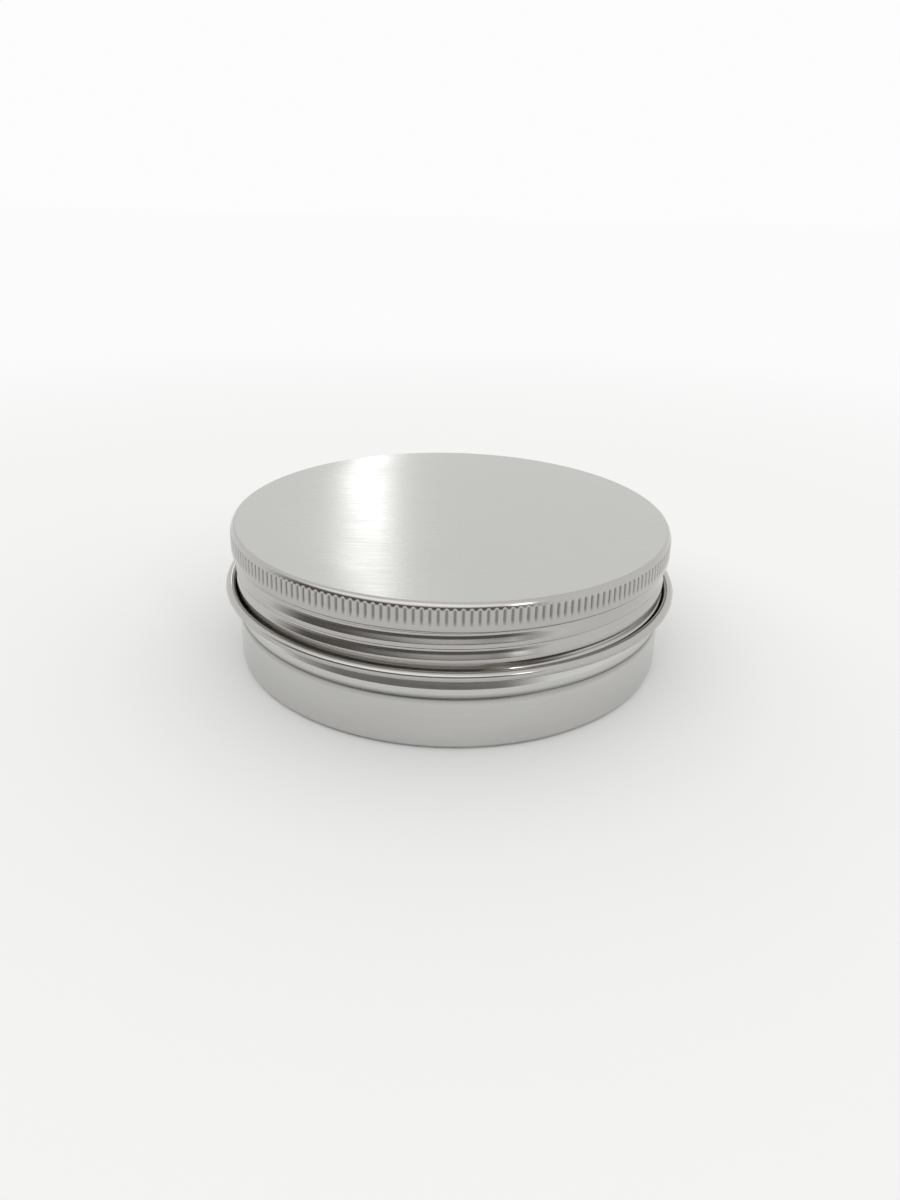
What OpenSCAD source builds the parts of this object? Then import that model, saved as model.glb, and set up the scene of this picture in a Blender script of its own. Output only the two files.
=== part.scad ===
// Round screw-lid tin of thin drawn aluminium, closed.
// z = 0 is the surface that the tin stands on, and the tin's axis is the Z axis.
// The lid turns anticlockwise, seen from above, to open: the thread is right-hand.

/* [Overall] */
// Diameter over the lid's rolled edge, the widest part of the tin
tin_d = 84; // [80:0.5:90]
// Height of the closed tin
tin_h = 25.8; // [25:0.2:30]
// Thickness of the aluminium sheet
sheet = 0.4; // [0.36:0.02:0.44]

/* [Base] */
// Height of the plain lower wall, up to the fine step line
wall_h = 9.35; // [8:0.05:9.8]
// How far the collar above the step line stands out from the plain wall
step_out = 0.09; // [0.05:0.01:0.12]
// Radius of the corner between wall and underside
foot_r = 1.4; // [1:0.1:1.8]
// How far the middle of the underside is pressed up
panel_up = 0.5; // [0.3:0.05:0.7]
// Slope of the shoulder from upright, in degrees
shoulder_a = 21; // [20:1:24]

/* [Lid] */
// Height of the shoulder and the knurled band together
band_h = 4.88; // [4.7:0.02:5]
// Diameter of the rolled edge's section
curl_d = 1.64; // [1.5:0.02:1.7]

/* [Thread] */
// Rise of the thread in one turn
pitch = 2.6; // [2.5:0.05:2.7]
// Turns of thread pressed into the lid
lid_turns = 2.1; // [1.6:0.1:2.1]
// Turns of thread on the base's neck
neck_turns = 1.6; // [1.2:0.1:1.6]

/* [Liner] */
// Thickness of the foam sealing disc
liner_t = 1.18; // [1:0.02:1.2]
// Gap under the disc, to the mouth of the base, and above it, to the lid
liner_gap = 0.08; // [0.06:0.01:0.1]

/* [Hidden] */
$fn = 180;

t2 = sheet / 2;
tin_r = tin_d / 2;
// outer radii of the lid
curl_r = curl_d / 2;                      // rolled edge's section
band_r = tin_r - 1.3;                     // knurled band
skirt_r = tin_r - 2.0;                    // thread crests and lower skirt
// outer radii of the base
wall_r = tin_r - 2.35;
collar_r = wall_r + step_out;
neck_r = tin_r - 3.35;
mouth_r = neck_r + 0.2;                   // rolled mouth
// heights
curl_z = tin_h - 11.75;                   // middle of the rolled edge's section
lip_z = tin_h - band_h;                   // lower edge of the knurled band
shoulder_z = tin_h - 14.95;               // foot of the shoulder
neck_z = shoulder_z + (collar_r - neck_r) / tan(shoulder_a);
mouth_z = tin_h - sheet - liner_t - 2 * liner_gap;
// height of the bottom of the lid's thread groove at angle a
thread_a0 = -85;
thread_z0 = tin_h - 10.71;
function groove_z(a) = thread_z0 + pitch * (a - thread_a0) / 360;

// ---- middle line of a sheet, as [radius, height] points
function unit(v) = v / norm(v);
function arc(c, r, a0, a1, n) = [for (i = [0:n]) let (a = a0 + (a1 - a0) * i / n) [c[0] + r * cos(a), c[1] + r * sin(a)]];
// one corner p1 between p0 and p2, rounded to radius r with n steps
function corner(p0, p1, p2, r, n) =
    r == 0 ? [p1] :
    let (d1 = unit(p1 - p0), d2 = unit(p2 - p1), f = acos(d1 * d2),
         s = sign(d1[0] * d2[1] - d1[1] * d2[0]), a = p1 - d1 * r * tan(f / 2),
         c = a + s * r * [-d1[1], d1[0]])
    [for (i = [0:n]) let (b = s * f * i / n, v = a - c) c + [v[0] * cos(b) - v[1] * sin(b), v[0] * sin(b) + v[1] * cos(b)]];
// path through corners, each given as [radius, height, rounding, steps]
function path(p) = [for (i = [0:len(p) - 1])
    each (i == 0 || i == len(p) - 1 ? [[p[i][0], p[i][1]]] :
          corner([p[i - 1][0], p[i - 1][1]], [p[i][0], p[i][1]], [p[i + 1][0], p[i + 1][1]], p[i][2], p[i][3]))];
function tangent(p, i) = i == 0 ? unit(p[1] - p[0]) : i == len(p) - 1 ? unit(p[i] - p[i - 1]) :
    unit(unit(p[i] - p[i - 1]) + unit(p[i + 1] - p[i]));
// the path moved sideways by d, to the left of its direction
function beside(p, d) = [for (i = [0:len(p) - 1])
    let (t = tangent(p, i), c = i == 0 ? 1 : t * unit(p[i] - p[i - 1])) p[i] + [-t[1], t[0]] * d / c];
function turned(p) = [for (i = [len(p) - 1:-1:0]) p[i]];
module sheet_of(p) { rotate_extrude() polygon(concat(beside(p, t2), turned(beside(p, -t2)))); }

// ---- a section swept along the thread
// sec lists [radius where faded out, full radius, height above the groove line]
function fade(a, a0, a1, w) = let (u = min(1, (a - a0) / w, (a1 - a) / w)) u * u * (3 - 2 * u);
module thread_sweep(sec, a0, turns, w) {
    a1 = a0 + 360 * turns;
    n = round((a1 - a0) / 6);
    m = len(sec);
    pts = [for (i = [0:n]) let (a = a0 + (a1 - a0) * i / n, f = fade(a, a0, a1, w))
           for (s = sec) let (r = s[0] + (s[1] - s[0]) * f) [r * cos(a), r * sin(a), groove_z(a) + s[2]]];
    faces = concat([[for (k = [0:m - 1]) k]], [[for (k = [m - 1:-1:0]) n * m + k]],
        [for (i = [0:n - 1], k = [0:m - 1]) [i * m + k, (i + 1) * m + k, (i + 1) * m + (k + 1) % m]],
        [for (i = [0:n - 1], k = [0:m - 1]) [i * m + k, (i + 1) * m + (k + 1) % m, i * m + (k + 1) % m]]);
    polyhedron(pts, faces, convexity = 8);
}

// ---- base: underside pressed up in the middle, plain wall, collar, shoulder, threaded neck, rolled mouth
mouth_c = [mouth_r - 0.55, mouth_z - 0.55];
base_path = concat(
    path([[0, panel_up + t2], [wall_r - 4.05, panel_up + t2, 0.9, 4], [wall_r - 3.15, t2, 0.9, 4],
          [wall_r - t2, t2, foot_r - t2, 9], [wall_r - t2, wall_h, 0, 0], [collar_r - t2, wall_h + 0.12, 0, 0],
          [collar_r - t2, shoulder_z, 0.6, 4], [neck_r - t2, neck_z, 0.8, 4],
          [neck_r - t2, mouth_z - 1.9, 0.5, 4], [mouth_c[0] - 0.35, mouth_z - 1.35, 0.5, 4],
          [mouth_c[0] - 0.35, mouth_z - 0.85]]),
    arc(mouth_c, 0.35, 180, -40, 14));
// neck thread: a ridge with its inner side inside the sheet
ridge = [[neck_r - 0.13, neck_r - 0.15, 0.2], [neck_r - 0.12, neck_r + 0.02, 0.33], [neck_r - 0.12, neck_r + 0.63, 0.85],
         [neck_r - 0.12, neck_r + 0.63, 1.1], [neck_r - 0.12, neck_r + 0.02, 2.3], [neck_r - 0.13, neck_r - 0.15, 2.45]];
neck_a0 = -60;

module base_shell() color([0.74, 0.74, 0.72]) union() {
    sheet_of(base_path);
    thread_sweep(turned(ridge), neck_a0, neck_turns, 30);
}

// ---- lid: flat top, rounded shoulder, knurled band, threaded skirt, rolled edge
curl_c = [tin_r - curl_r, curl_z];
lid_path = concat(
    path([[0, tin_h - t2], [band_r - t2 - 0.511, tin_h - t2, 0.49, 5], [band_r - t2, tin_h - t2 - 0.73, 1.96, 6],
          [band_r - t2, lip_z + 0.22, 0.4, 6], [skirt_r - t2, lip_z + 0.12, 0.4, 6],
          [skirt_r - t2, curl_z - curl_r + t2, 0.95, 8], [curl_c[0] - 0.2, curl_z - curl_r + t2]]),
    arc(curl_c, curl_r - t2, -90, 185, 22));
// lid thread: the groove pressed in from outside, and the bead that it raises inside
groove = [[skirt_r + 0.30, skirt_r - 0.6, 0.02], [skirt_r + 0.31, skirt_r - 0.5, 0.16], [skirt_r + 0.33, skirt_r + 0.02, 0.38],
          [skirt_r + 0.5, skirt_r + 0.45, 0.56], [skirt_r + 0.5, skirt_r + 0.45, -1.72],
          [skirt_r + 0.33, skirt_r + 0.02, -1.5], [skirt_r + 0.31, skirt_r - 0.42, -0.7], [skirt_r + 0.3, skirt_r - 0.58, -0.25]];
bead = [[skirt_r - 0.29, skirt_r - 1, 0.02], [skirt_r - 0.28, skirt_r - 0.93, 0.3], [skirt_r - 0.26, skirt_r - 0.45, 0.62],
        [skirt_r - 0.2, skirt_r - 0.2, 0.8], [skirt_r - 0.2, skirt_r - 0.2, -1.7], [skirt_r - 0.26, skirt_r - 0.42, -1.52],
        [skirt_r - 0.28, skirt_r - 0.8, -0.85], [skirt_r - 0.29, skirt_r - 0.98, -0.28]];

module lid_shell() color([0.8, 0.8, 0.78]) difference() {
    union() {
        sheet_of(lid_path);
        thread_sweep(bead, thread_a0, lid_turns, 30);
    }
    thread_sweep(groove, thread_a0 + 3, lid_turns - 6 / 360, 30);
}

// ---- liner: loose foam disc that seals the mouth
module lid_liner() color([0.95, 0.95, 0.94])
    translate([0, 0, mouth_z + liner_gap]) cylinder(r = skirt_r - 0.8, h = liner_t);

base_shell();
lid_shell();
lid_liner();
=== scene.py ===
import math

import bpy
import numpy as np
from mathutils import Matrix, Vector


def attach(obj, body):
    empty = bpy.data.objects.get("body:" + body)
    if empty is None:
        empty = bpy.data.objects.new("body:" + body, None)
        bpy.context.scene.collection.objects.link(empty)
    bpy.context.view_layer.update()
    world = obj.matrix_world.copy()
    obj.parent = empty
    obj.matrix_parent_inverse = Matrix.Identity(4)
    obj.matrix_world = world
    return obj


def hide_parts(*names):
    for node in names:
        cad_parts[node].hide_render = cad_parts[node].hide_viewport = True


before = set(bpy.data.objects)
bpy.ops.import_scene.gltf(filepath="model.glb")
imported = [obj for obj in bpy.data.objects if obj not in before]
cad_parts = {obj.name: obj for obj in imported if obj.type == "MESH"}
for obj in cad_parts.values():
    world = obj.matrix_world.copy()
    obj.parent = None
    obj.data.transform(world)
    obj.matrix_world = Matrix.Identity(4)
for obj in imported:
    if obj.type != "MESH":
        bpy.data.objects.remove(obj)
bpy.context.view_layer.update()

MM = 0.001
# ---- driving sizes in millimetres, the same as the frame's
TIN_R, TIN_H, SHEET = 42.0, 25.8, 0.4
T2 = SHEET / 2
CURL_R = 0.82
BAND_R, SKIRT_R = TIN_R - 1.3, TIN_R - 2.0
WALL_R = TIN_R - 2.35
COLLAR_R, NECK_R = WALL_R + 0.09, TIN_R - 3.35
MOUTH_R = NECK_R + 0.2
CURL_Z, LIP_Z, SHOULDER_Z = TIN_H - 11.75, TIN_H - 4.88, TIN_H - 14.95
NECK_Z = SHOULDER_Z + (COLLAR_R - NECK_R) / math.tan(math.radians(21))
LINER_T, GAP = 1.18, 0.08
MOUTH_Z = TIN_H - SHEET - LINER_T - 2 * GAP
PITCH = 2.6
KNURLS, KNURL_DEPTH = 206, 0.17


def smooth(t):
    t = np.clip(t, 0, 1)
    return t * t * (3 - 2 * t)


def arc(c, r, a0, a1, n):
    return [np.array([c[0] + r * math.cos(math.radians(a0 + (a1 - a0) * i / n)),
                      c[1] + r * math.sin(math.radians(a0 + (a1 - a0) * i / n))]) for i in range(n + 1)]


def corner(p0, p1, p2, r, n):
    if r == 0:
        return [p1]
    d1, d2 = (p1 - p0) / np.linalg.norm(p1 - p0), (p2 - p1) / np.linalg.norm(p2 - p1)
    f = math.acos(float(np.clip(d1 @ d2, -1, 1)))
    s = 1.0 if d1[0] * d2[1] - d1[1] * d2[0] > 0 else -1.0
    a = p1 - d1 * r * math.tan(f / 2)
    c = a + s * r * np.array([-d1[1], d1[0]])
    out = []
    for i in range(n + 1):
        b, v = s * f * i / n, a - c
        out.append(c + np.array([v[0] * math.cos(b) - v[1] * math.sin(b), v[0] * math.sin(b) + v[1] * math.cos(b)]))
    return out


def path(p):
    q = [np.array(v[:2], float) for v in p]
    out = []
    for i in range(len(p)):
        out += [q[i]] if i in (0, len(p) - 1) else corner(q[i - 1], q[i], q[i + 1], p[i][2], p[i][3])
    return out


def dense(p, step):
    """The path with more points: no step longer than step(middle of the segment)."""
    out = [p[0]]
    for a, b in zip(p, p[1:]):
        n = max(1, math.ceil(np.linalg.norm(b - a) / step((a + b) / 2)))
        out += [a + (b - a) * i / n for i in range(1, n + 1)]
    return out


def beside(p, d):
    out = []
    for i, q in enumerate(p):
        before = None if i == 0 else (q - p[i - 1]) / np.linalg.norm(q - p[i - 1])
        after = None if i == len(p) - 1 else (p[i + 1] - q) / np.linalg.norm(p[i + 1] - q)
        if before is None or after is None:
            t, c = (after if before is None else before), 1.0
        else:
            t = (before + after) / np.linalg.norm(before + after)
            c = float(t @ before)
        out.append(q + np.array([-t[1], t[0]]) * d / c)
    return out


def helix(theta, z, a0, turns, z0, rise_h, rise_r, w=30.0, r_base=0.0):
    """Height of a thread's section above its base at angle theta (degrees) and height z, faded at both ends."""
    best = np.full(np.broadcast(theta, z).shape, r_base)
    a1 = a0 + 360 * turns
    for k in range(-2, 5):
        a = theta + 360 * k
        inside = (a >= a0) & (a <= a1)
        f = smooth(np.minimum(1, np.minimum((a - a0) / w, (a1 - a) / w)))
        h = z - (z0 + PITCH * (a + 85) / 360)
        v = np.interp(h, rise_h, rise_r, left=r_base, right=r_base)
        best = np.maximum(best, np.where(inside, r_base + (v - r_base) * f, r_base))
    return best


def soft(h, r, n=8):
    """Control points of a section with its corners eased."""
    h, r = np.array(h, float), np.array(r, float)
    hh = np.linspace(h[0], h[-1], 160)
    rr = np.interp(hh, h, r)
    pad = np.pad(rr, n, mode="edge")
    kernel = np.hanning(2 * n + 1)
    rr = np.convolve(pad, kernel / kernel.sum(), "valid")
    return hh, rr


THREAD_Z0 = TIN_H - 10.71
GROOVE = soft([-1.9, -1.5, -0.7, -0.25, 0.02, 0.16, 0.38, 0.6], [0, 0, 0.42, 0.58, 0.6, 0.5, 0, 0], 5)
BEAD = soft([-2.0, -1.75, -1.52, -0.85, -0.28, 0.02, 0.3, 0.62, 0.85, 1.0], [0, 0, 0.2, 0.4, 0.58, 0.6, 0.53, 0.06, 0, 0], 5)
RIDGE = soft([0.1, 0.33, 0.85, 1.1, 2.3, 2.5], [0, 0.02, 0.63, 0.63, 0.02, 0], 5)


def ring_mesh(name, rings, slots, materials, body, node, uv=True):
    """rings: list of (r per column, z per column) arrays; counts may halve or double between rings. A ring of one column is the axis."""
    counts = [len(r[0]) for r in rings]
    painted_shade = np.concatenate([r[2] if len(r) > 2 else np.zeros(len(r[0])) for r in rings])
    rings = [(r[0], r[1]) for r in rings]
    start = np.concatenate([[0], np.cumsum(counts)])
    co = []
    for (r, z), n in zip(rings, counts):
        th = np.radians(-90 + 360 * np.arange(n) / n)
        co.append(np.stack([r * np.cos(th), r * np.sin(th), z], -1) * MM)
    co = np.concatenate(co)
    faces, slot_of = [], []
    for i in range(len(rings) - 1):
        a, b, sa, sb = counts[i], counts[i + 1], start[i], start[i + 1]
        m = slots[i]
        if a == 1:
            faces += [(sa, sb + k, sb + (k + 1) % b) for k in range(b)]
            slot_of += [m] * b
        elif b == 1:
            faces += [(sb, sa + (k + 1) % a, sa + k) for k in range(a)]
            slot_of += [m] * a
        elif a == b:
            faces += [(sa + k, sb + k, sb + (k + 1) % b, sa + (k + 1) % a) for k in range(a)]
            slot_of += [m] * a
        elif a > b:
            q = a // b
            faces += [tuple([sb + k, sb + (k + 1) % b] + [sa + (k * q + j) % a for j in range(q, -1, -1)]) for k in range(b)]
            slot_of += [m] * b
        else:
            q = b // a
            faces += [tuple([sa + (k + 1) % a, sa + k] + [sb + (k * q + j) % b for j in range(q + 1)]) for k in range(a)]
            slot_of += [m] * a
    mesh = bpy.data.meshes.new(name)
    mesh.from_pydata(co.tolist(), [], [tuple(int(v) for v in f) for f in faces])
    mesh.polygons.foreach_set("material_index", slot_of)
    mesh.polygons.foreach_set("use_smooth", [True] * len(faces))
    for m in materials:
        mesh.materials.append(m)
    if uv:
        layer = mesh.uv_layers.new(name="UVMap")
        vi = np.zeros(len(mesh.loops), np.int64)
        mesh.loops.foreach_get("vertex_index", vi)
        flat = co[vi]
        loop_slot = np.repeat(np.array(slot_of), [len(f) for f in faces])
        th = np.arctan2(flat[:, 1], flat[:, 0])
        first = np.repeat(np.cumsum([0] + [len(f) for f in faces[:-1]]), [len(f) for f in faces])
        th = th + 2 * np.pi * np.round((th[first] - th) / (2 * np.pi))
        u = np.where(loop_slot == 0, flat[:, 0], th * 0.04)
        v = np.where(loop_slot == 0, flat[:, 1], flat[:, 2])
        layer.data.foreach_set("uv", np.stack([u, v], -1).astype(np.float32).ravel())
    # per-vertex amount of painted shade, read by the metal shader to darken the colour
    attribute = mesh.attributes.new("painted_shade", "FLOAT", "POINT")
    attribute.data.foreach_set("value", painted_shade.astype(np.float32))
    mesh.validate()
    mesh.update()
    obj = bpy.data.objects.new(name, mesh)
    bpy.context.scene.collection.objects.link(obj)
    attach(obj, body)
    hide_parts(node)
    return obj


# ---- materials
def metal(name, base, rough, aniso, stretch, rough_var=0.06, bump=0.05, tone=0.05, dents=0.0):
    m = bpy.data.materials.new(name)
    m.use_nodes = True
    n, l = m.node_tree.nodes, m.node_tree.links
    p = n["Principled BSDF"]
    p.inputs["Metallic"].default_value = 1.0
    p.inputs["Anisotropic"].default_value = aniso
    p.inputs["Anisotropic Rotation"].default_value = 0.25
    co = n.new("ShaderNodeTexCoord")
    mp = n.new("ShaderNodeMapping")
    mp.inputs["Scale"].default_value = stretch
    l.new(co.outputs["Object"], mp.inputs["Vector"])
    fine = n.new("ShaderNodeTexNoise")
    fine.inputs["Scale"].default_value = 1.0
    fine.inputs["Detail"].default_value = 6.0
    fine.inputs["Roughness"].default_value = 0.65
    l.new(mp.outputs["Vector"], fine.inputs["Vector"])
    broad = n.new("ShaderNodeTexNoise")
    broad.inputs["Scale"].default_value = 90.0
    broad.inputs["Detail"].default_value = 3.0
    l.new(co.outputs["Object"], broad.inputs["Vector"])
    # colour: slight streaks and faint clouding
    ramp = n.new("ShaderNodeValToRGB")
    lo, hi = [c * (1 - tone) for c in base], [min(1, c * (1 + tone)) for c in base]
    ramp.color_ramp.elements[0].position = 0.3
    ramp.color_ramp.elements[0].color = (*lo, 1)
    ramp.color_ramp.elements[1].position = 0.7
    ramp.color_ramp.elements[1].color = (*hi, 1)
    mixf = n.new("ShaderNodeMath")
    mixf.operation = "MULTIPLY_ADD"
    mixf.inputs[1].default_value = 0.35
    l.new(broad.outputs["Fac"], mixf.inputs[0])
    scaled = n.new("ShaderNodeMath")
    scaled.operation = "MULTIPLY"
    scaled.inputs[1].default_value = 0.65
    l.new(fine.outputs["Fac"], scaled.inputs[0])
    l.new(scaled.outputs[0], mixf.inputs[2])
    l.new(mixf.outputs[0], ramp.inputs["Fac"])
    # painted shade: the base colour is mixed toward 0.42 of itself wherever the per-vertex painted shade amount is set
    # (knurl flutes, groove under the collar)
    painted_shade_attr = n.new("ShaderNodeAttribute")
    painted_shade_attr.attribute_name = "painted_shade"
    painted_shade_mix = n.new("ShaderNodeMix")
    painted_shade_mix.data_type = "RGBA"
    painted_shade_mix.blend_type = "MIX"
    painted_shade_mix.inputs["B"].default_value = (base[0] * 0.42, base[1] * 0.41, base[2] * 0.40, 1)
    l.new(painted_shade_attr.outputs["Fac"], painted_shade_mix.inputs["Factor"])
    l.new(ramp.outputs["Color"], painted_shade_mix.inputs["A"])
    l.new(painted_shade_mix.outputs["Result"], p.inputs["Base Color"])
    rr = n.new("ShaderNodeMapRange")
    rr.inputs["From Min"].default_value = 0.3
    rr.inputs["From Max"].default_value = 0.7
    rr.inputs["To Min"].default_value = rough - rough_var
    rr.inputs["To Max"].default_value = rough + rough_var
    l.new(mixf.outputs[0], rr.inputs["Value"])
    l.new(rr.outputs["Result"], p.inputs["Roughness"])
    b = n.new("ShaderNodeBump")
    b.inputs["Strength"].default_value = bump
    b.inputs["Distance"].default_value = 0.00006
    l.new(fine.outputs["Fac"], b.inputs["Height"])
    last = b
    if dents:
        big = n.new("ShaderNodeTexNoise")
        big.inputs["Scale"].default_value = 55.0
        big.inputs["Detail"].default_value = 1.0
        l.new(co.outputs["Object"], big.inputs["Vector"])
        b2 = n.new("ShaderNodeBump")
        b2.inputs["Strength"].default_value = dents
        b2.inputs["Distance"].default_value = 0.0003
        l.new(big.outputs["Fac"], b2.inputs["Height"])
        l.new(b.outputs["Normal"], b2.inputs["Normal"])
        last = b2
    l.new(last.outputs["Normal"], p.inputs["Normal"])
    if aniso:
        tan = n.new("ShaderNodeTangent")
        tan.direction_type = "UV_MAP"
        tan.uv_map = "UVMap"
        l.new(tan.outputs["Tangent"], p.inputs["Tangent"])
    return m


LID_TOP = metal("lid_top_brushed", (0.585, 0.585, 0.57), 0.28, 0.70, (70, 2600, 70), 0.07, 0.10, 0.05)
# painted shade and reflection: the lid's side metal has a darker, warmer base colour than the lid top, standing in for
# the darker, browner surroundings it reflects
LID_SIDE = metal("lid_side_satin", (0.49, 0.478, 0.46), 0.17, 0.25, (50, 50, 1800), 0.05, 0.05, 0.05)
BASE_SIDE = metal("base_wall_satin", (0.60, 0.597, 0.58), 0.22, 0.35, (45, 45, 1500), 0.05, 0.05, 0.05, 0.02)
INNER = metal("inner_satin", (0.60, 0.60, 0.59), 0.34, 0.0, (600, 600, 600), 0.05, 0.04, 0.04)

# ---- lid
curl_c = [TIN_R - CURL_R, CURL_Z]
lid_mid = path([[0, TIN_H - T2], [BAND_R - T2 - 0.511, TIN_H - T2, 0.49, 8], [BAND_R - T2, TIN_H - T2 - 0.73, 1.96, 16],
                [BAND_R - T2, LIP_Z + 0.22, 0.4, 8], [SKIRT_R - T2, LIP_Z + 0.12, 0.4, 8],
                [SKIRT_R - T2, CURL_Z - CURL_R + T2, 0.95, 10], [curl_c[0] - 0.2, CURL_Z - CURL_R + T2]])
lid_mid = lid_mid + arc(curl_c, CURL_R - T2, -90, 185, 32)[0:]
lid_mid = [p for i, p in enumerate(lid_mid) if i == 0 or np.linalg.norm(p - lid_mid[i - 1]) > 1e-4]


def lid_step(m):
    if m[0] < 38:
        return 9.0
    if m[1] > 22.3:
        return 0.09
    if 14.6 < m[1] < LIP_Z + 0.1 and m[0] < SKIRT_R + 0.1:
        return 0.07
    return 0.3


lid_mid = dense(lid_mid, lid_step)
outer, inner = beside(lid_mid, T2), beside(lid_mid, -T2)
FINE, MEDIUM, COARSE = KNURLS * 12, KNURLS * 4, KNURLS * 2


def theta_of(n):
    return -90 + 360 * np.arange(n) / n


rings, slots = [], []
for r, z in outer:
    top = z > TIN_H - 1e-6
    if r < 1e-6:
        rings.append((np.zeros(1), np.array([z])))
        slots.append(0)
        continue
    n = COARSE if (top and r < BAND_R - 1.2) else FINE if z > 21.6 else MEDIUM
    th = theta_of(n)
    rr, painted_shade_amount = np.full(n, r), np.zeros(n)
    if n == FINE:
        u = (th * KNURLS / 360) % 1.0
        flute = np.where(u < 0.5, np.sqrt(np.clip(1 - (4 * u - 1) ** 2, 0, 1)), 0)
        fz = float(smooth((z - 21.85) / 1.1))
        cut = BAND_R - KNURL_DEPTH * flute * fz
        # painted shade in the bottom of each knurl flute, strongest at the flute's deepest part and fading out toward
        # the lid top
        painted_shade_amount = np.where(cut < rr, flute ** 2 * fz, 0) * min(1.0, max(0.0, (24.9 - z) / 0.3))
        rr = np.minimum(rr, cut)
    elif 14.4 < z < LIP_Z + 0.05 and r < SKIRT_R + 0.6 and r > SKIRT_R - 0.3:
        d = helix(th, z, -85, 2.1, THREAD_Z0, *GROOVE)
        rr = np.where(d > 1e-3, np.minimum(rr, SKIRT_R - d), rr) if r > SKIRT_R - 0.05 else rr
    rings.append((rr, np.full(n, z), painted_shade_amount))
    slots.append(0 if top else 1)
for r, z in reversed(inner):
    if r < 1e-6:
        rings.append((np.zeros(1), np.array([z])))
        slots.append(2)
        continue
    n = MEDIUM if z < 21.6 else COARSE
    th = theta_of(n)
    rr = np.full(n, r)
    if 14.4 < z < LIP_Z + 0.05 and r < SKIRT_R:
        d = helix(th, z, -85, 2.1, THREAD_Z0, *BEAD)
        rr = np.where(d > 1e-3, np.minimum(rr, SKIRT_R - SHEET - d), rr)
    rings.append((rr, np.full(n, z)))
    slots.append(2 if z > 15 else 1)
lid = ring_mesh("lid_shell_looks", rings, slots, [LID_TOP, LID_SIDE, INNER], "lid", "lid_shell")

# ---- base
mouth_c = [MOUTH_R - 0.55, MOUTH_Z - 0.55]
base_mid = path([[0, 0.5 + T2], [WALL_R - 4.05, 0.5 + T2, 0.9, 6], [WALL_R - 3.15, T2, 0.9, 6],
                 [WALL_R - T2, T2, 1.4 - T2, 14], [WALL_R - T2, 9.31, 0, 0], [WALL_R - T2 - 0.07, 9.38, 0, 0], [WALL_R - T2 - 0.06, 9.42, 0, 0], [COLLAR_R - T2, 9.48, 0, 0],
                 [COLLAR_R - T2, SHOULDER_Z, 0.6, 6], [NECK_R - T2, NECK_Z, 0.8, 6],
                 [NECK_R - T2, MOUTH_Z - 1.9, 0.5, 6], [mouth_c[0] - 0.35, MOUTH_Z - 1.35, 0.5, 6],
                 [mouth_c[0] - 0.35, MOUTH_Z - 0.85]]) + arc(mouth_c, 0.35, 180, -40, 20)
base_mid = [p for i, p in enumerate(base_mid) if i == 0 or np.linalg.norm(p - base_mid[i - 1]) > 1e-4]


def base_step(m):
    if m[0] < 35:
        return 9.0
    if NECK_Z < m[1] < MOUTH_Z - 1:
        return 0.13
    return 1.2


base_mid = dense(base_mid, base_step)
rings, slots = [], []
for r, z in beside(base_mid, -T2):
    if r < 1e-6:
        rings.append((np.zeros(1), np.array([z])))
        slots.append(2)
        continue
    th = theta_of(600)
    rr = np.full(600, r)
    # painted shade: a dark line painted into the small V groove at the step under the collar
    painted_shade_amount = np.full(600, 0.9 if 9.34 < z < 9.46 else 0.0)
    if NECK_Z < z < MOUTH_Z - 0.8:
        d = helix(th, z, -60, 1.6, THREAD_Z0, *RIDGE)
        rr = np.where(d > 1e-3, np.maximum(rr, NECK_R + d), rr)
    rings.append((rr, np.full(600, z), painted_shade_amount))
    slots.append(1)
for r, z in reversed(beside(base_mid, T2)):
    if r < 1e-6:
        rings.append((np.zeros(1), np.array([z])))
        slots.append(2)
        continue
    th = theta_of(600)
    rr = np.full(600, r)
    if NECK_Z < z < MOUTH_Z - 0.8:
        d = helix(th, z, -57, 1.58, THREAD_Z0, *RIDGE)
        rr = np.where(d > 1e-3, np.maximum(rr, NECK_R - SHEET + 0.7 * d), rr)
    rings.append((rr, np.full(600, z)))
    slots.append(2)
rings, slots = rings[::-1], slots[::-1]
slots = slots[1:] + slots[:1]
base = ring_mesh("base_shell_looks", rings, slots, [LID_TOP, BASE_SIDE, INNER], "base", "base_shell")

# ---- liner: foam disc with eased edges
foam = bpy.data.materials.new("liner_foam")
foam.use_nodes = True
n, l = foam.node_tree.nodes, foam.node_tree.links
p = n["Principled BSDF"]
p.inputs["Roughness"].default_value = 0.85
co = n.new("ShaderNodeTexCoord")
cells = n.new("ShaderNodeTexVoronoi")
cells.inputs["Scale"].default_value = 2600.0
l.new(co.outputs["Object"], cells.inputs["Vector"])
cloud = n.new("ShaderNodeTexNoise")
cloud.inputs["Scale"].default_value = 160.0
l.new(co.outputs["Object"], cloud.inputs["Vector"])
ramp = n.new("ShaderNodeValToRGB")
ramp.color_ramp.elements[0].color = (0.80, 0.80, 0.78, 1)
ramp.color_ramp.elements[1].color = (0.92, 0.92, 0.90, 1)
l.new(cloud.outputs["Fac"], ramp.inputs["Fac"])
l.new(ramp.outputs["Color"], p.inputs["Base Color"])
b = n.new("ShaderNodeBump")
b.inputs["Strength"].default_value = 0.35
b.inputs["Distance"].default_value = 0.0001
l.new(cells.outputs["Distance"], b.inputs["Height"])
l.new(b.outputs["Normal"], p.inputs["Normal"])
LR, Z0 = SKIRT_R - 0.8, MOUTH_Z + GAP
outline = [np.array([0.0, Z0 + LINER_T]), np.array([20.0, Z0 + LINER_T])] + arc([LR - 0.2, Z0 + LINER_T - 0.2], 0.2, 90, 0, 5) + \
    arc([LR - 0.2, Z0 + 0.2], 0.2, 0, -90, 5) + [np.array([20.0, Z0]), np.array([0.0, Z0])]
rings = [(np.zeros(1), np.array([z])) if r < 1e-6 else (np.full(412, r), np.full(412, z)) for r, z in outline]
liner = ring_mesh("liner_looks", rings, [0] * len(rings), [foam], "liner", "lid_liner")

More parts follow.
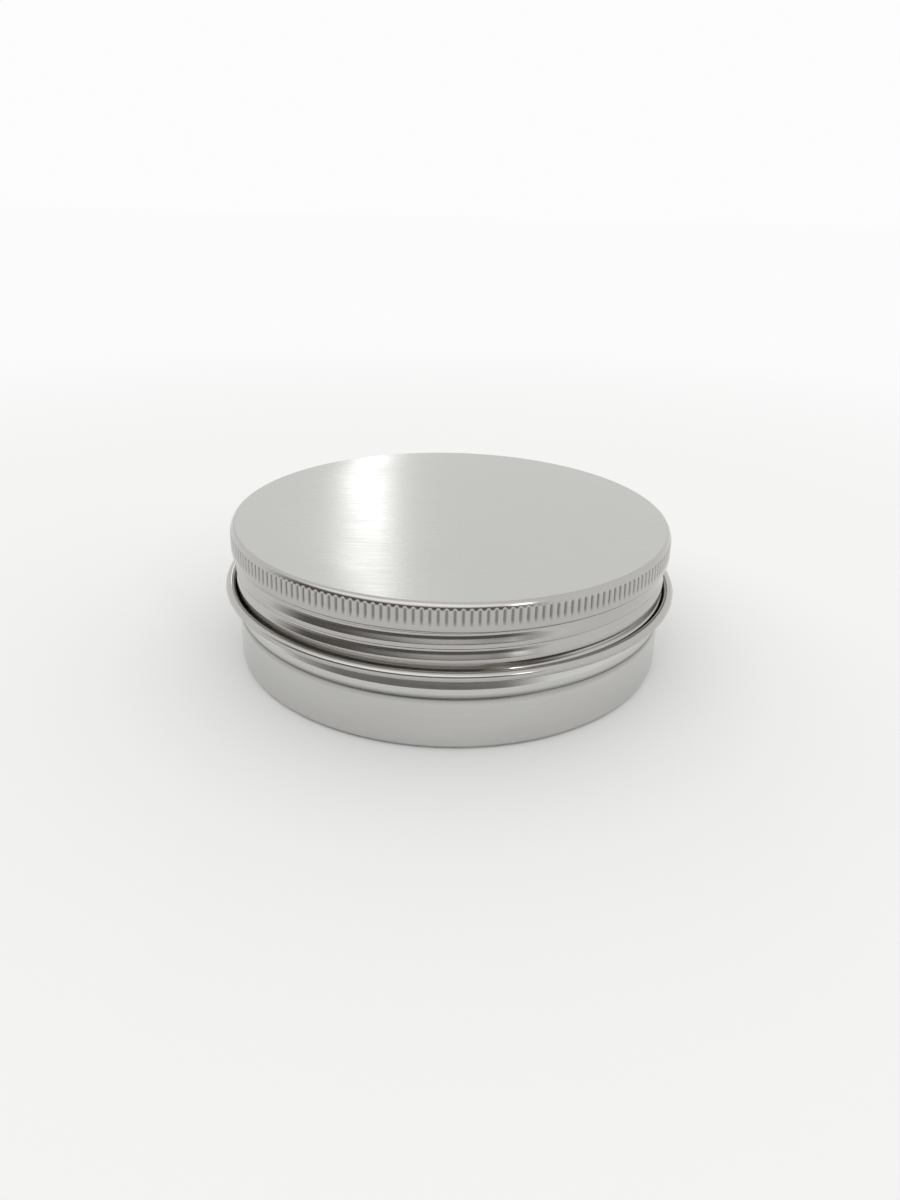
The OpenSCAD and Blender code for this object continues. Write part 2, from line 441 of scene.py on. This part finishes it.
# ---- floor
floor_mesh = bpy.data.meshes.new("floor")
s = 3.0
floor_mesh.from_pydata([(-s, -s, 0), (s, -s, 0), (s, s, 0), (-s, s, 0)], [], [(0, 1, 2, 3)])
floor = bpy.data.objects.new("floor", floor_mesh)
bpy.context.scene.collection.objects.link(floor)
fm = bpy.data.materials.new("floor_white")
fm.use_nodes = True
fp = fm.node_tree.nodes["Principled BSDF"]
fp.inputs["Base Color"].default_value = (0.92, 0.92, 0.92, 1)
fp.inputs["Roughness"].default_value = 0.7
fp.inputs["Specular IOR Level"].default_value = 0.0
fn, fl = fm.node_tree.nodes, fm.node_tree.links
fco = fn.new("ShaderNodeTexCoord")
flen = fn.new("ShaderNodeVectorMath")
flen.operation = "LENGTH"
fl.new(fco.outputs["Object"], flen.inputs[0])
ffar = fn.new("ShaderNodeMapRange")
ffar.interpolation_type = "SMOOTHSTEP"
ffar.inputs["From Min"].default_value = 0.07
ffar.inputs["From Max"].default_value = 0.45
fl.new(flen.outputs["Value"], ffar.inputs["Value"])
glow = fn.new("ShaderNodeEmission")
glow.inputs["Color"].default_value = (0.97, 0.97, 0.97, 1)
fmix = fn.new("ShaderNodeMixShader")
fl.new(ffar.outputs["Result"], fmix.inputs["Fac"])
fl.new(fp.outputs["BSDF"], fmix.inputs[1])
fl.new(glow.outputs["Emission"], fmix.inputs[2])
fl.new(fmix.outputs["Shader"], fn["Material Output"].inputs["Surface"])
floor_mesh.materials.append(fm)

# ---- world: bright above, a darker room band low down on the viewer's side, light behind
world = bpy.data.worlds.new("studio")
bpy.context.scene.world = world
world.use_nodes = True
n, l = world.node_tree.nodes, world.node_tree.links
bg = n["Background"]
co = n.new("ShaderNodeTexCoord")
sep = n.new("ShaderNodeSeparateXYZ")
l.new(co.outputs["Generated"], sep.inputs["Vector"])
height = n.new("ShaderNodeValToRGB")
e = height.color_ramp.elements
e[0].position, e[0].color = 0.0, (0.30, 0.30, 0.30, 1)
e[1].position, e[1].color = 1.0, (1.6, 1.6, 1.6, 1)
for pos, c in ((0.04, (0.42, 0.42, 0.41)), (0.09, (0.10, 0.090, 0.082)), (0.42, (0.12, 0.11, 0.10)), (0.53, (1.5, 1.5, 1.5))):
    k = e.new(pos)
    k.color = (*c, 1)
l.new(sep.outputs["Z"], height.inputs["Fac"])
facing = n.new("ShaderNodeVectorMath")
facing.operation = "DOT_PRODUCT"
facing.inputs[1].default_value = (-0.42, -0.91, 0)
l.new(co.outputs["Generated"], facing.inputs[0])
mask = n.new("ShaderNodeMapRange")
mask.inputs["From Min"].default_value = 0.25
mask.inputs["From Max"].default_value = 0.60
l.new(facing.outputs["Value"], mask.inputs["Value"])
mix = n.new("ShaderNodeMix")
mix.data_type = "RGBA"
mix.inputs["A"].default_value = (0.93, 0.93, 0.92, 1)
l.new(mask.outputs["Result"], mix.inputs["Factor"])
l.new(height.outputs["Color"], mix.inputs["B"])
lp = n.new("ShaderNodeLightPath")
cam_mix = n.new("ShaderNodeMix")
cam_mix.data_type = "RGBA"
cam_mix.inputs["B"].default_value = (0.98, 0.98, 0.98, 1)
l.new(lp.outputs["Is Camera Ray"], cam_mix.inputs["Factor"])
l.new(mix.outputs["Result"], cam_mix.inputs["A"])
l.new(cam_mix.outputs["Result"], bg.inputs["Color"])
bg.inputs["Strength"].default_value = 1.0


def area(name, loc, target, size, power):
    data = bpy.data.lights.new(name, "AREA")
    data.shape = "RECTANGLE"
    data.size, data.size_y = size
    data.energy = power
    o = bpy.data.objects.new(name, data)
    o.location = loc
    o.rotation_euler = (Vector(target) - Vector(loc)).to_track_quat("-Z", "Y").to_euler()
    bpy.context.scene.collection.objects.link(o)
    return o


area("back_strip", (-0.105, 0.9, 0.33), (0, 0, 0.02), (0.05, 0.34), 0.115)
area("right_glint", (0.509, -0.70, 0.50), (0, 0, 0.02), (0.13, 0.10), 0.30)

# ---- camera at the photograph's angle
E, D, ROLL = math.radians(19.65), 0.1695, math.radians(1.32)
target = Vector((0, 0, TIN_H * MM))
loc = target + Vector((0, -D * math.cos(E), D * math.sin(E)))
cam = bpy.data.cameras.new("camera")
cam.sensor_fit = "VERTICAL"
cam.sensor_height = 36.0
cam.lens = 898 * 36.0 / 1200
cam.shift_x = -0.001
cam.shift_y = (510.9 - 600) / 1200
cam.clip_start = 0.01
cam_obj = bpy.data.objects.new("camera", cam)
back = (loc - target).normalized()
right = Vector((1, 0, 0))
up = back.cross(right)
rot = Matrix((right, up, back)).transposed().to_4x4()
cam_obj.matrix_world = Matrix.Translation(loc) @ rot @ Matrix.Rotation(ROLL, 4, "Z")
bpy.context.scene.collection.objects.link(cam_obj)
bpy.context.scene.camera = cam_obj
bpy.context.scene.view_settings.view_transform = "Standard"
